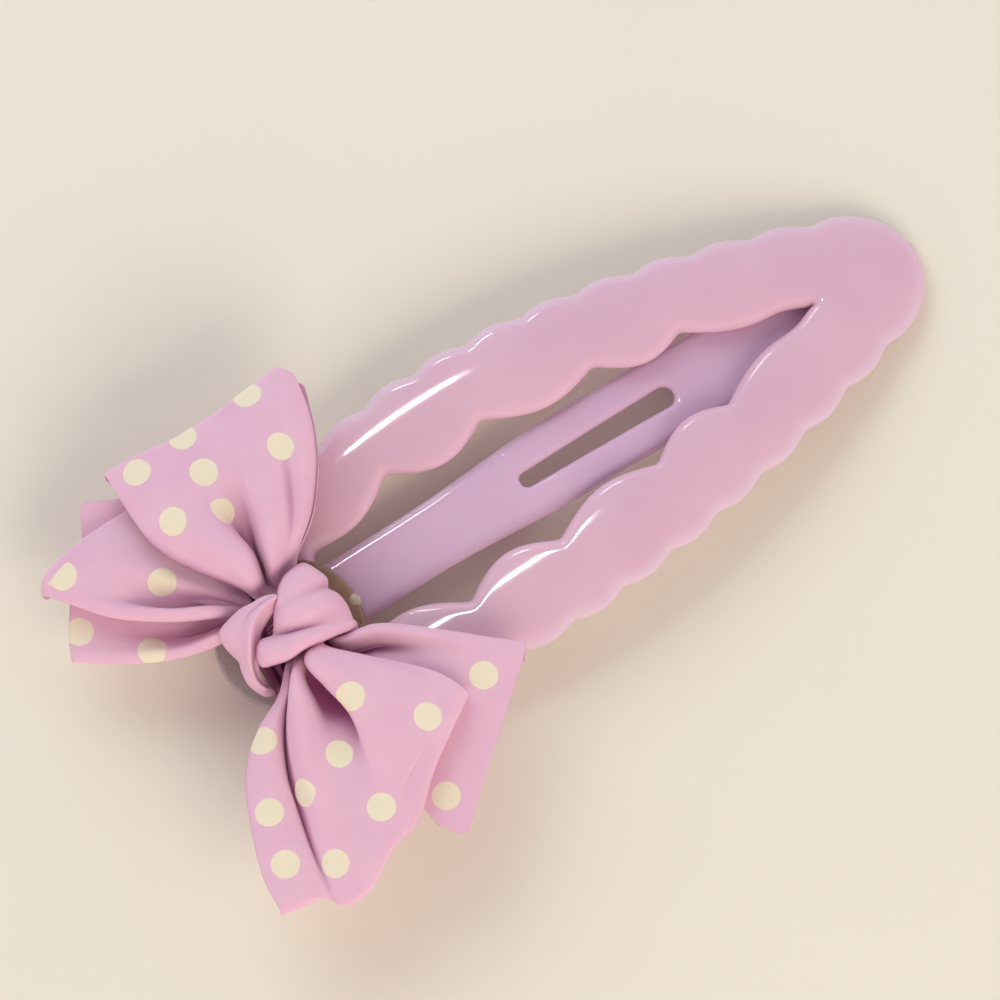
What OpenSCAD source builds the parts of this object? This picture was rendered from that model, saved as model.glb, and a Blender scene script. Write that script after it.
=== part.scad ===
// Snap hair clip with a ribbon bow.
// X runs from the heel to the tip, Y across the clip and Z up from the table.
// The origin is on the small flat under the heel, on the clip's centre line.

/* [Clip] */
// Length of the clip from heel to tip
clip_len = 80; // [76:1:84]
// Greatest width of the clip over its scalloped edge
clip_w = 30; // [28:1:32]
// Radius of the arch that follows the head, at the underside
arch_r = 180; // [170:5:200]
// Thickness of the coated sheet
sheet_t = 1.6; // [1.5:0.1:1.8]
// Thickness of the spring steel inside the coat
steel_t = 0.5; // [0.4:0.1:0.6]
// Distance from one scallop to the next
scallop_pitch = 5.9; // [5:0.1:7]
// Height of a scallop
scallop_h = 0.7; // [0.4:0.1:1]
// Radius of the rounded tip
tip_r = 6.7; // [6:0.1:7.5]

/* [Window] */
// Where the window between the side legs starts, from the heel
window_start = 12.3; // [12:0.1:12.6]
// Where the window ends in a point, from the heel
window_end = 68; // [66:0.5:69]
// Width of the window between its notches
window_w = 11.9; // [11.6:0.1:12.4]
// Depth of a notch in the window's edge
notch_h = 1.7; // [1.3:0.05:1.9]

/* [Tongue] */
// Width of the tongue's neck at the heel
neck_w = 6.8; // [6.4:0.1:7.2]
// Width of the tongue past its neck
tongue_w = 8.5; // [8:0.1:9]
// Thickness of the coated tongue
tongue_t = 1.2; // [1:0.1:1.3]
// Where the tongue ends under the tip, from the heel
tongue_end = 69.5; // [67:0.5:70]
// Radius of the tongue's own, flatter arch
tongue_r = 268; // [266:1:270]
// Length of the slot in the tongue
slot_len = 17.6; // [15:0.1:18]
// Width of the slot at its narrow end
slot_w = 1.6; // [1.4:0.1:2]

/* [Bow] */
// Diameter of the pad that the bow is glued to
pad_d = 15; // [14:0.5:16]
// Thickness of the pad
pad_t = 2.2; // [2:0.1:2.4]
// Length of the knot band along the bow
knot_len = 8.4; // [8:0.2:8.8]
// Width of the knot band along the clip
knot_w = 12; // [11.5:0.1:12.2]
// Height of the knot band
knot_h = 7.6; // [7.2:0.1:7.8]

/* [Hidden] */

round_fn = 64;
arch_fn = 720;
soft_fn = 24;
slab = 60;

// The heel's edge stands a little behind the origin, so that the flat under it holds the origin.
heel_x = -0.5;
foot_flat = 0.2;
arch_x = heel_x + clip_len / 2;
arch_z = -foot_flat - sqrt(pow(arch_r, 2) - pow(clip_len / 2, 2));
arch_top_r = arch_r + sheet_t;
arch_mid_r = arch_r + sheet_t / 2;

// Stations along the clip, counted from the heel.
wide_at = 31;
tip_angle = 16.5;
tip_from = clip_len - tip_r + tip_r * sin(tip_angle);
tip_half = tip_r * cos(tip_angle);
taper_power = 1.8;
edge_steps = 120;
scallop_from = 12;
scallop_peak = 28.1;
scallop_fade = 5;
window_wide_at = 23.3;
window_steps = 72;
notches = [window_start, 23.6, 34.2, 46.3, 55.4, window_end];
// How much further the window's edge bulges in between these notches.
bays = [0.8, 0.4, 0.1, 0, 0];
start_power = 3;
coat_side = 0.7;

// The gap where the springy legs bend away from the heel.
flex_x = 15;
flex_gap = 0.3;

// The tongue leaves the heel's mid surface here and follows its own arch.
root_x = 12;
root_overlap = 1.5;
root_z = arch_z + sqrt(pow(arch_mid_r, 2) - pow(arch_x - root_x, 2));
tongue_slope = 3.97;
tongue_x = root_x + tongue_r * sin(tongue_slope);
tongue_z = root_z - tongue_r * cos(tongue_slope);
tongue_round = 6;
neck_until = 22;
tongue_full_at = 40;
tongue_steps = 48;
slot_from = 34.2;
slot_widening = 1.4;
slot_coat = 0.3;

pad_x = 6.8;
pad_y = -1;
pad_tilt = asin((arch_x - pad_x) / arch_top_r);
knot_x = 6;
knot_y = -1.8;
knot_z = 6.4;
waist_z = knot_z + knot_h / 2;
band_t = 0.8;
thread_gap = 0.1;
thread_t = 0.4;
thread_len = 3;
bead_r = 4.6;

enamel_colour = [0.85, 0.69, 0.77];
steel_colour = [0.6, 0.6, 0.62];
pad_colour = [0.55, 0.45, 0.42];
glue_colour = [0.93, 0.92, 0.88];
ribbon_colour = [0.9, 0.7, 0.78];
fold_colour = [0.78, 0.56, 0.68];
thread_colour = [0.75, 0.5, 0.62];

function root_of(v) = sqrt(max(0, v));
function spaced(first, last, n) = [for (i = [0:n]) first + (last - first) * (1 - cos(180 * i / n)) / 2];
function smooth(u) = u <= 0 ? 0 : u >= 1 ? 1 : u * u * (3 - 2 * u);

// Half the clip's width at a station, without its scallops.
function plain_half(t) =
    t < wide_at ? clip_w / 2 * root_of(1 - pow((wide_at - t) / wide_at, 2)) :
    t < tip_from ? clip_w / 2 - (clip_w / 2 - tip_half) * pow((t - wide_at) / (tip_from - wide_at), taper_power) :
    root_of(pow(tip_r, 2) - pow(t - clip_len + tip_r, 2));
// Round bumps with narrow valleys, which die away at the heel and the tip.
function scallop(t) =
    smooth((t - scallop_from) / scallop_fade) * smooth((clip_len - 2 - t) / scallop_fade)
    * scallop_h * (abs(cos(180 * (t - scallop_peak) / scallop_pitch)) - 0.6);
// The window's edge bulges inwards between one notch and the next.
function bulge(t, i) =
    t >= notches[i] && t < notches[i + 1] ? sin(180 * (t - notches[i]) / (notches[i + 1] - notches[i])) : 0;
function notch(t) = notch_h * (1 - max([for (i = [0:len(notches) - 2]) bulge(t, i)]));
function bay(t) = max([for (i = [0:len(bays) - 1]) bays[i] * bulge(t, i)]);
function blunt_start(t) =
    pow(max(0, 1 - pow((window_wide_at - t) / (window_wide_at - window_start), start_power)), 1 / start_power);
function window_half(t) = window_plain(t) - bay(t);
function window_plain(t) =
    t < window_wide_at
    ? window_w / 2 * blunt_start(t) + notch(t)
    : window_w / 2 * (1 - pow((t - window_wide_at) / (window_end - window_wide_at), taper_power))
      + notch(t) * smooth((window_end - t) / scallop_fade);
function tongue_half(t) =
    (neck_w + (tongue_w - neck_w) * smooth((t - neck_until) / (tongue_full_at - neck_until))) / 2
    * root_of(1 - pow(max(0, t - tongue_end + tongue_round) / tongue_round, 2));

// A closed outline, the same on both sides of the centre line, from its half widths.
module mirrored_outline(stations, halves) {
    last = len(stations) - 1;
    polygon(concat(
        [for (i = [0:last]) if (halves[i] > 0.01) [stations[i] + heel_x, halves[i]]],
        [for (i = [last:-1:0]) if (halves[i] > 0.01) [stations[i] + heel_x, -halves[i]]]));
}

// The clip's outline, drawn in by the coat's thickness for the steel.
module clip_outline(inset) {
    t = spaced(0, clip_len, edge_steps);
    shrink_x = 1 - 2 * inset / clip_len;
    shrink_y = 1 - 2 * inset / clip_w;
    mirrored_outline([for (v = t) inset + v * shrink_x], [for (v = t) shrink_y * (plain_half(v) + scallop(v))]);
}

module window_outline(inset) {
    t = spaced(window_start, window_end, window_steps);
    grow_x = 1 + 2 * inset / (window_end - window_start);
    grow_y = 1 + 2 * inset / window_w;
    mirrored_outline([for (v = t) window_start - inset + (v - window_start) * grow_x],
                     [for (v = t) grow_y * window_half(v)]);
}

module tongue_outline(inset) {
    t = spaced(root_x - root_overlap - heel_x, tongue_end, tongue_steps);
    difference() {
        mirrored_outline([for (v = t) v - inset * smooth((v - neck_until) / tongue_full_at)],
                         [for (v = t) max(0, tongue_half(v) * (1 - 2 * inset / tongue_w))]);
        slot_outline(slot_w / 2 + min(inset, slot_coat));
    }
}

// A slot with round ends that widens towards the tip.
module slot_outline(r) {
    near_x = heel_x + slot_from + slot_w / 2;
    far_x = near_x + slot_len - slot_w * (1 + slot_widening) / 2;
    far_r = r * slot_widening;
    translate([near_x, 0]) circle(r = r, $fn = round_fn);
    translate([far_x, 0]) circle(r = far_r, $fn = round_fn);
    polygon([[near_x, r], [far_x, far_r], [far_x, -far_r], [near_x, -r]]);
}

// Two half rounds joined by a straight stretch.
module stadium(w, h) {
    translate([(h - w) / 2, 0]) circle(d = h, $fn = round_fn);
    translate([(w - h) / 2, 0]) circle(d = h, $fn = round_fn);
    square([w - h, h], center = true);
}

module arc_shell(x, z, r_low, r_high) {
    translate([x, 0, z]) rotate([90, 0, 0]) difference() {
        cylinder(r = r_high, h = slab, center = true, $fn = arch_fn);
        cylinder(r = r_low, h = slab + 2, center = true, $fn = arch_fn);
    }
}

// A layer of the arched clip sheet, between two radii, cut to an outline.
module clip_layer(below, above) {
    intersection() {
        linear_extrude(height = slab / 2) children();
        arc_shell(arch_x, arch_z, arch_r + below, arch_top_r - above);
    }
}

module tongue_layer(skin) {
    half = tongue_t / 2 - skin;
    intersection() {
        linear_extrude(height = slab / 2) children();
        arc_shell(tongue_x, tongue_z, tongue_r - half, tongue_r + half);
    }
}

// The part of a plan outline on the heel's side of the flex line, or on the tip's side.
module heel_side(back) {
    intersection() {
        children();
        translate([-slab, -slab]) square([slab + flex_x - flex_gap / 2 - back, 2 * slab]);
    }
}

module tip_side(back) {
    intersection() {
        children();
        translate([flex_x + flex_gap / 2 + back, -slab]) square([2 * slab, 2 * slab]);
    }
}

module heel_and_tongue(inset, skin, tongue_skin) {
    clip_layer(skin, skin) heel_side(inset) difference() {
        clip_outline(inset);
        window_outline(inset);
    }
    tongue_layer(tongue_skin) tongue_outline(inset);
}

module side_legs(inset, skin) {
    clip_layer(skin, skin) tip_side(inset) difference() {
        clip_outline(inset);
        window_outline(inset);
    }
}

steel_skin = (sheet_t - steel_t) / 2;
tongue_steel_skin = (tongue_t - steel_t) / 2;

module heel_and_tongue_enamel() {
    color(enamel_colour) difference() {
        heel_and_tongue(0, 0, 0);
        heel_and_tongue(coat_side, steel_skin, tongue_steel_skin);
    }
}

module heel_and_tongue_steel() {
    color(steel_colour) heel_and_tongue(coat_side, steel_skin, tongue_steel_skin);
}

module side_legs_enamel() {
    color(enamel_colour) difference() {
        side_legs(0, 0);
        side_legs(coat_side, steel_skin);
    }
}

module side_legs_steel() {
    color(steel_colour) side_legs(coat_side, steel_skin);
}

// Everything under the pad's top face, in the heel's own tilted frame.
module on_heel() {
    translate([arch_x, pad_y, arch_z]) rotate([0, -pad_tilt, 0]) translate([0, 0, arch_top_r]) children();
}

module mounting_pad() {
    color(pad_colour) difference() {
        on_heel() translate([0, 0, -1]) cylinder(d = pad_d, h = pad_t + 1, $fn = round_fn);
        translate([arch_x, 0, arch_z]) rotate([90, 0, 0])
            cylinder(r = arch_top_r, h = slab, center = true, $fn = arch_fn);
    }
}

// The hot glue fills the wedge between the tilted pad and the level bow.
module glue_bead() {
    color(glue_colour) difference() {
        translate([knot_x, pad_y, 0]) cylinder(r = bead_r, h = knot_z, $fn = round_fn);
        on_heel() translate([0, 0, -slab / 2]) cylinder(d = 2 * pad_d, h = slab / 2 + pad_t, $fn = round_fn);
    }
}

// A soft closed lump round a few balls, each given by its centre and radius.
module soft_lump(balls) {
    hull() for (b = balls) translate([b[0], b[1], b[2]]) sphere(r = b[3], $fn = soft_fn);
}

// The pinched ribbon inside the knot, from the bow's middle to one face of the knot.
module waist(side) {
    translate([knot_x, knot_y, waist_z]) rotate([-90 * side, 0, 0])
        linear_extrude(height = knot_len / 2 + 1)
        stadium(knot_w - 2 * (band_t + thread_t + 2 * thread_gap), knot_h - 2 * (band_t + thread_t + 2 * thread_gap));
}

module upper_loop() {
    color(ribbon_colour) {
        waist(1);
        soft_lump([[4, 4.6, 10.2, 1.7], [8.5, 4.6, 10.2, 1.7], [1.6, 19, 8.6, 1.5], [18.2, 18.6, 8.6, 1.5],
                   [2.4, 17.5, 13, 1.4], [16.5, 17, 13, 1.4]]);
    }
}

module lower_loop() {
    color(ribbon_colour) {
        waist(-1);
        soft_lump([[4, -8.2, 11, 1.6], [8.5, -8.2, 11, 1.6], [-6.5, -16.5, 10.8, 1.4], [-7, -23.5, 10.8, 1.4],
                   [-2, -25.5, 11.2, 1.4], [6, -23, 12.6, 1.4], [15.2, -14.8, 12.4, 1.4]]);
    }
}

module left_tail_upper() {
    color(ribbon_colour) soft_lump([[-0.6, 4.5, 8.2, 1.1], [-3.6, 15.5, 8.2, 1.1], [-9.8, 15, 8, 1.4], [-8.4, 12, 7.8, 1.1]]);
}

module left_tail_lower() {
    color(fold_colour) soft_lump([[-2.8, 3.6, 5.2, 0.8], [-5.6, 3.4, 5, 0.8], [-11.6, 8.4, 4.9, 1], [-9.8, 11, 4.9, 1]]);
}

module right_tail() {
    color(fold_colour) soft_lump([[9.5, -7.6, 7.5, 0.7], [14, -8, 7.9, 0.8], [23.6, -15, 8.8, 0.8], [10.8, -26.6, 7.9, 0.8]]);
}

// A straight sleeve of ribbon round the waist.
module sleeve(w, h, t, length) {
    translate([knot_x, knot_y, waist_z]) rotate([90, 0, 0]) linear_extrude(height = length, center = true)
        difference() {
            stadium(w, h);
            stadium(w - 2 * t, h - 2 * t);
        }
}

module knot_band() {
    color(ribbon_colour) sleeve(knot_w, knot_h, band_t, knot_len);
}

module binding_thread() {
    inside = 2 * (band_t + thread_gap);
    color(thread_colour) sleeve(knot_w - inside, knot_h - inside, thread_t, thread_len);
}

heel_and_tongue_enamel();
heel_and_tongue_steel();
side_legs_enamel();
side_legs_steel();
mounting_pad();
glue_bead();
upper_loop();
lower_loop();
left_tail_upper();
left_tail_lower();
right_tail();
knot_band();
binding_thread();
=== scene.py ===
"""A snap hair clip with a glossy coat and a dotted ribbon bow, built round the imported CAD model.

Lengths inside the functions are in millimetres, and become metres when a mesh is made.
"""

import math

import bmesh
import bpy
import numpy as np
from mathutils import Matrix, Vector
from mathutils.kdtree import KDTree


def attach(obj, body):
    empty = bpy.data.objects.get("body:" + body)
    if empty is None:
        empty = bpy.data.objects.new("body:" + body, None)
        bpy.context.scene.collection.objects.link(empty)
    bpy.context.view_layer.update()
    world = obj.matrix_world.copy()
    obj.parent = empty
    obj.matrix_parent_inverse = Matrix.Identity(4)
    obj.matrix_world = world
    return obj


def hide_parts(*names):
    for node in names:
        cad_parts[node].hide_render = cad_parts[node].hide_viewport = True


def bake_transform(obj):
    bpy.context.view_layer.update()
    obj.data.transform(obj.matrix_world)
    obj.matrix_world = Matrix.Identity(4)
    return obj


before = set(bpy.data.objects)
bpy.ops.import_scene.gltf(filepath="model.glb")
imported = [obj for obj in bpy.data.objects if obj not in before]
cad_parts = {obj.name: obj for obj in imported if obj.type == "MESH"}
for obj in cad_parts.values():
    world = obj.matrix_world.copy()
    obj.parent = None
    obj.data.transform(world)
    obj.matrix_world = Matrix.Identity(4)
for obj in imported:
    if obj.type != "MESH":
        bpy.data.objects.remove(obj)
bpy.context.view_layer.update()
MM = 0.001

# ---------------------------------------------------------------- camera and lights

VIEW_AZIMUTH = -32.5
VIEW_ELEVATION = 75.0
VIEW_TARGET = Vector((0.0311, -0.0004, 0.004))
VIEW_DISTANCE = 1.5
VIEW_WIDTH = 0.0974
SENSOR_WIDTH = 36
DAYLIGHT, FILL_COLOUR, LAMP_COLOUR = (0.95, 0.98, 1.0), (0.74, 1.0, 0.97), (1.0, 0.97, 0.72)
SKY_COLOUR = (1.0, 0.88, 1.0, 1)
# The sky's strength at its low end and its high end.
SKY_LOW, SKY_HIGH = 1.38, 0.17


def direction(azimuth, elevation):
    """The unit vector from the object towards a viewer or light; azimuth 0 is the -Y side."""
    a, e = math.radians(azimuth), math.radians(elevation)
    return Vector((math.sin(a) * math.cos(e), -math.cos(a) * math.cos(e), math.sin(e)))


def make_camera():
    back = direction(VIEW_AZIMUTH, VIEW_ELEVATION)
    data = bpy.data.cameras.new("camera")
    data.sensor_width = SENSOR_WIDTH
    data.lens = SENSOR_WIDTH * VIEW_DISTANCE / VIEW_WIDTH
    data.clip_start, data.clip_end = 0.01, 10
    camera = bpy.data.objects.new("camera", data)
    camera.location = VIEW_TARGET + back * VIEW_DISTANCE
    camera.rotation_mode = "QUATERNION"
    camera.rotation_quaternion = (-back).to_track_quat("-Z", "Y")
    bpy.context.scene.collection.objects.link(camera)
    bpy.context.scene.camera = camera


def area_light(name, azimuth, elevation, distance, size, power, colour, highlight):
    """A soft light that makes highlights, or one that lights everything without showing in the gloss."""
    back = direction(azimuth, elevation)
    data = bpy.data.lights.new(name, "AREA")
    data.shape = "RECTANGLE"
    data.size, data.size_y = size
    data.energy = power
    data.color = colour
    light = bpy.data.objects.new(name, data)
    light.location = VIEW_TARGET + back * distance
    light.rotation_mode = "QUATERNION"
    light.rotation_quaternion = (-back).to_track_quat("-Z", "Y")
    light.visible_glossy = highlight
    light.visible_diffuse = not highlight
    bpy.context.scene.collection.objects.link(light)


def make_lights():
    area_light("window_light", 180, 62, 0.7, (0.13, 0.035), 0.58, DAYLIGHT, highlight=True)
    area_light("rim_light", 172, 25, 0.7, (0.1, 0.03), 0.2, DAYLIGHT, highlight=True)
    area_light("window_fill", 177, 37, 0.8, (0.7, 0.5), 2.7, FILL_COLOUR, highlight=False)
    area_light("lamp_light", -8, 36, 0.8, (0.6, 0.45), 3.1, LAMP_COLOUR, highlight=False)
    world = bpy.data.worlds.new("world")
    world.use_nodes = True
    nodes, links = world.node_tree.nodes, world.node_tree.links
    place, split = nodes.new("ShaderNodeTexCoord"), nodes.new("ShaderNodeSeparateXYZ")
    height = nodes.new("ShaderNodeMapRange")
    links.new(place.outputs["Generated"], split.inputs[0])
    links.new(split.outputs["Z"], height.inputs[0])
    height.inputs[3].default_value, height.inputs[4].default_value = SKY_LOW, SKY_HIGH
    links.new(height.outputs[0], nodes["Background"].inputs["Strength"])
    nodes["Background"].inputs["Color"].default_value = SKY_COLOUR
    bpy.context.scene.world = world
    bpy.context.scene.view_settings.view_transform = "Standard"


# ---------------------------------------------------------------- materials


def srgb(r, g, b):
    """A linear colour with alpha from sRGB values of 0 to 255."""
    def linear(c):
        c = c / 255
        return c / 12.92 if c <= 0.04045 else ((c + 0.055) / 1.055) ** 2.4
    return (linear(r), linear(g), linear(b), 1.0)


class Material:
    """A node material with a few short ways to add nodes to it."""

    def __init__(self, name):
        self.made = bpy.data.materials.new(name)
        self.made.use_nodes = True
        self.nodes = self.made.node_tree.nodes
        self.links = self.made.node_tree.links
        self.shader = self.nodes["Principled BSDF"]
        self.output = self.nodes["Material Output"]

    def node(self, kind, **inputs):
        n = self.nodes.new(kind)
        for name, value in inputs.items():
            self.put(n, name, value)
        return n

    def put(self, n, name, value):
        """Sets an input of a node, or links another node's output to it. _3 is the input numbered 3."""
        socket = n.inputs[int(name[1:])] if name[:1] == "_" else n.inputs[name]
        if isinstance(value, bpy.types.NodeSocket):
            self.links.new(value, socket)
        else:
            socket.default_value = value

    def attribute(self, name):
        n = self.nodes.new("ShaderNodeAttribute")
        n.attribute_name = name
        return n.outputs["Fac"]

    def object_place(self):
        return self.node("ShaderNodeTexCoord").outputs["Object"]

    def noise(self, scale, detail):
        place = self.object_place()
        return self.node("ShaderNodeTexNoise", Scale=scale, Detail=detail, Vector=place).outputs["Fac"]

    def ramp(self, value, low, high, out_low=0.0, out_high=1.0, smooth=False):
        n = self.nodes.new("ShaderNodeMapRange")
        n.interpolation_type = "SMOOTHSTEP" if smooth else "LINEAR"
        for i, v in enumerate((value, low, high, out_low, out_high)):
            self.put(n, f"_{i}", v)
        return n.outputs[0]

    def mix(self, factor, a, b):
        n = self.nodes.new("ShaderNodeMix")
        n.data_type = "RGBA"
        self.put(n, "_0", factor)
        self.put(n, "_6", a)
        self.put(n, "_7", b)
        return n.outputs[2]

    def math(self, operation, a, b):
        n = self.nodes.new("ShaderNodeMath")
        n.operation = operation
        for i, v in enumerate((a, b)):
            self.put(n, f"_{i}", v)
        return n.outputs[0]

    def bump(self, height, strength, distance):
        """Gives the main shader a bumped normal, and returns it."""
        n = self.node("ShaderNodeBump", Strength=strength, Distance=distance, Height=height)
        self.put(self.shader, "Normal", n.outputs["Normal"])
        return n.outputs["Normal"]

    def set(self, **inputs):
        """Sets or links inputs of the main shader; an underscore stands for a space."""
        for name, value in inputs.items():
            self.put(self.shader, name.replace("_", " "), value)


def enamel(name, face, rim, depth):
    """A thick glossy coat with faint waves in its surface, and a painted reflection along its rounded outer
    rims: the rim colour, paler on the frame, blended in there.
    """
    m = Material(name)
    # Painted reflection: the rim colour sits at the outer rims and fades out 1.5 mm in.
    edge = m.ramp(m.attribute("rim"), 0.1, 1.5, 1.0, 0.0, smooth=True)
    cloud = m.ramp(m.noise(90, 2), 0.35, 0.65, 0.0, 1.0)
    body = m.mix(cloud, face, depth)
    m.set(Base_Color=m.mix(edge, body, rim), Roughness=0.09, IOR=1.52)
    m.set(Coat_Weight=0.5, Coat_Roughness=0.03, Coat_IOR=1.5)
    m.set(Subsurface_Weight=0.12, Subsurface_Scale=0.0012)
    m.put(m.shader, "Subsurface Radius", (1.0, 0.45, 0.6))
    m.bump(m.noise(160, 2), 0.06, 0.0006)
    return m.made


def steel():
    m = Material("spring_steel")
    grain = m.noise(900, 4)
    m.set(Base_Color=m.mix(grain, (0.42, 0.42, 0.44, 1), (0.6, 0.6, 0.62, 1)), Metallic=1.0)
    m.set(Roughness=m.ramp(grain, 0.3, 0.7, 0.28, 0.42))
    return m.made


def smoky_pad():
    """Clear plastic gone grey, golden and darker towards +X: partly yellowish glue seen through it, partly
    painted shade and reflection of the dark gap beside it.
    """
    m = Material("pad")
    place = m.node("ShaderNodeSeparateXYZ", Vector=m.object_place()).outputs["X"]
    # Partly painted shade and reflection: towards +X the pad takes darker golden tones, which also stand
    # for the yellowish glue seen through it.
    side = m.ramp(place, 0.001, 0.011, 0.0, 1.0, smooth=True)
    cloud = m.noise(420, 4)
    grey = m.mix(cloud, srgb(186, 170, 166), srgb(208, 192, 186))
    glue_and_painted_shade = m.mix(cloud, srgb(150, 118, 92), srgb(184, 152, 118))
    m.set(Base_Color=m.mix(side, grey, glue_and_painted_shade), Roughness=m.ramp(cloud, 0.3, 0.7, 0.22, 0.4))
    m.set(Transmission_Weight=0.35, IOR=1.46)
    m.bump(m.noise(900, 3), 0.15, 0.0003)
    return m.made


def hot_glue():
    m = Material("glue")
    cloud = m.noise(700, 3)
    m.set(Base_Color=m.mix(cloud, srgb(196, 176, 138), srgb(232, 224, 204)), Roughness=0.2, IOR=1.47)
    m.set(Transmission_Weight=0.3, Subsurface_Weight=0.2, Subsurface_Scale=0.001)
    m.bump(cloud, 0.2, 0.0003)
    return m.made


def ribbon(name, dotted=False, deep=0.0):
    """Soft ribbon: a fine weave, a little light through the cloth, printed cream dots, and painted shade in
    its folds.

    deep is how much painted shade, in the folds' shade colour, the whole surface has: painted shade for the
    ribbon's unprinted back, which faces into the loops.
    """
    m = Material(name)
    fold_shade_magenta, hollow_shade = srgb(160, 66, 124), srgb(92, 34, 66)
    cloth_a, cloth_b = srgb(249, 203, 223), srgb(244, 195, 219)
    cloth = m.mix(m.ramp(m.noise(260, 3), 0.3, 0.7), cloth_a, cloth_b)
    uv = m.node("ShaderNodeUVMap")
    uv.uv_map = "ribbon"
    waves = []
    for turn in ("X", "Y"):
        w = m.node("ShaderNodeTexWave", Vector=uv.outputs["UV"], Scale=WEAVE_SCALE, Distortion=0.6)
        w.bands_direction = turn
        waves.append(w.outputs["Fac"])
    weave = m.math("MULTIPLY", waves[0], waves[1])
    colour = m.mix(m.ramp(weave, 0.0, 1.0, 0.0, 0.12), cloth, srgb(196, 120, 160))
    # Painted shade: the fold attribute tints deep folds with the shade colour, and tints the deepest
    # hollows darker still.
    fold = m.ramp(m.attribute("fold"), 0.08, 0.8, deep, 0.9, smooth=True)
    colour = m.mix(fold, colour, fold_shade_magenta)
    colour = m.mix(m.ramp(m.attribute("fold"), 0.9, 1.8, 0.0, 0.8, smooth=True), colour, hollow_shade)
    rough = m.ramp(weave, 0.0, 1.0, 0.72, 0.6)
    if dotted:
        cream = m.mix(m.noise(1500, 3), srgb(252, 240, 206), srgb(255, 246, 220))
        dot = m.ramp(m.attribute("dot"), DOT_R - 0.05, DOT_R + 0.03, 1.0, 0.0, smooth=True)
        colour = m.mix(dot, colour, cream)
    m.set(Base_Color=colour, Roughness=rough, Sheen_Weight=0.25, Sheen_Roughness=0.4)
    m.put(m.shader, "Sheen Tint", (1.0, 0.86, 0.92, 1))
    normal = m.bump(m.math("ADD", weave, m.noise(500, 3)), 0.12, 0.00012)
    shining = m.mix(0.5, colour, srgb(236, 130, 186))
    through = m.node("ShaderNodeBsdfTranslucent", Color=shining, Normal=normal)
    both = m.node("ShaderNodeMixShader", _0=0.15, _1=m.shader.outputs["BSDF"], _2=through.outputs["BSDF"])
    m.links.new(both.outputs["Shader"], m.output.inputs["Surface"])
    return m.made


def thread_material():
    """Thread wound round the waist: strands side by side, across Y."""
    m = Material("thread")
    w = m.node("ShaderNodeTexWave", Vector=m.object_place(), Scale=900.0, Distortion=1.0)
    w.bands_direction = "Y"
    m.set(Base_Color=m.mix(w.outputs["Fac"], srgb(150, 90, 120), srgb(215, 150, 180)), Roughness=0.6)
    m.bump(w.outputs["Fac"], 0.8, 0.0002)
    return m.made


def floor_material():
    m = Material("floor")
    m.set(Base_Color=m.mix(m.noise(40, 3), srgb(237, 229, 212), srgb(240, 232, 216)), Roughness=0.8)
    return m.made


# ---------------------------------------------------------------- meshes


def mesh_object(name, points, faces, material, values=None, uv=None, merge=None):
    """A smooth mesh object from points in millimetres; values are point attributes by name."""
    mesh = bpy.data.meshes.new(name)
    mesh.from_pydata((np.asarray(points, float) * MM).tolist(), [], faces)
    for key, data in (values or {}).items():
        mesh.attributes.new(key, "FLOAT", "POINT").data.foreach_set("value", np.asarray(data, np.float32))
    if uv is not None:
        layer = mesh.uv_layers.new(name="ribbon")
        corner = np.empty(len(mesh.loops), np.int32)
        mesh.loops.foreach_get("vertex_index", corner)
        layer.data.foreach_set("uv", np.asarray(uv, np.float32)[corner].ravel())
    if merge:
        bm = bmesh.new()
        bm.from_mesh(mesh)
        bmesh.ops.remove_doubles(bm, verts=bm.verts, dist=merge * MM)
        bmesh.ops.dissolve_degenerate(bm, dist=merge * MM / 4, edges=bm.edges)
        bmesh.ops.holes_fill(bm, edges=bm.edges, sides=4)
        bmesh.ops.recalc_face_normals(bm, faces=bm.faces)
        bm.to_mesh(mesh)
        bm.free()
    mesh.polygons.foreach_set("use_smooth", [True] * len(mesh.polygons))
    mesh.materials.append(material)
    obj = bpy.data.objects.new(name, mesh)
    bpy.context.scene.collection.objects.link(obj)
    return obj


def grid_faces(rows, columns, start=0, flip=False):
    """The quads of a grid of points stored row by row."""
    faces = []
    for i in range(rows - 1):
        for j in range(columns - 1):
            a = start + i * columns + j
            quad = (a, a + 1, a + columns + 1, a + columns)
            faces.append(quad[::-1] if flip else quad)
    return faces


def smooth(u):
    """An even rise from 0 to 1 as u goes from 0 to 1."""
    u = np.clip(u, 0, 1)
    return u * u * (3 - 2 * u)


def bunched(first, last, n):
    """Values from first to last, close together at both ends."""
    return first + (last - first) * (1 - np.cos(np.pi * np.arange(n + 1) / n)) / 2


# ---------------------------------------------------------------- the coated clip

# The clip's outline, its arch in the XZ plane, its scallops, its window and its tongue. Places along
# the clip are measured from the heel, which is at HEEL_X.
HEEL_X = -0.5
CLIP_LEN, CLIP_W, TIP_R = 80.0, 30.0, 6.7
ARCH_R, SHEET_T = 180.0, 1.6
ARCH_X = HEEL_X + CLIP_LEN / 2
ARCH_Z = -0.2 - math.sqrt(ARCH_R**2 - (CLIP_LEN / 2) ** 2)
ARCH_MID = ARCH_R + SHEET_T / 2
WIDE_AT, TIP_ANGLE = 31.0, math.radians(16.5)
TIP_FROM = CLIP_LEN - TIP_R + TIP_R * math.sin(TIP_ANGLE)
TIP_HALF = TIP_R * math.cos(TIP_ANGLE)
SCALLOP_PITCH, SCALLOP_H, SCALLOP_PEAK = 5.9, 0.7, 28.1
WINDOW_START, WINDOW_END, WINDOW_W, WINDOW_WIDE_AT = 12.3, 68.0, 11.9, 23.3
# The sheet droops a little towards its sides, from this far off the centre line.
TILT, TILT_FROM = 0.002, 4
SIDE_POWER = 1.8
SCALLOPS_FROM, SCALLOPS_TO, SCALLOP_FADE = 12, CLIP_LEN - 2, 5
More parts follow.
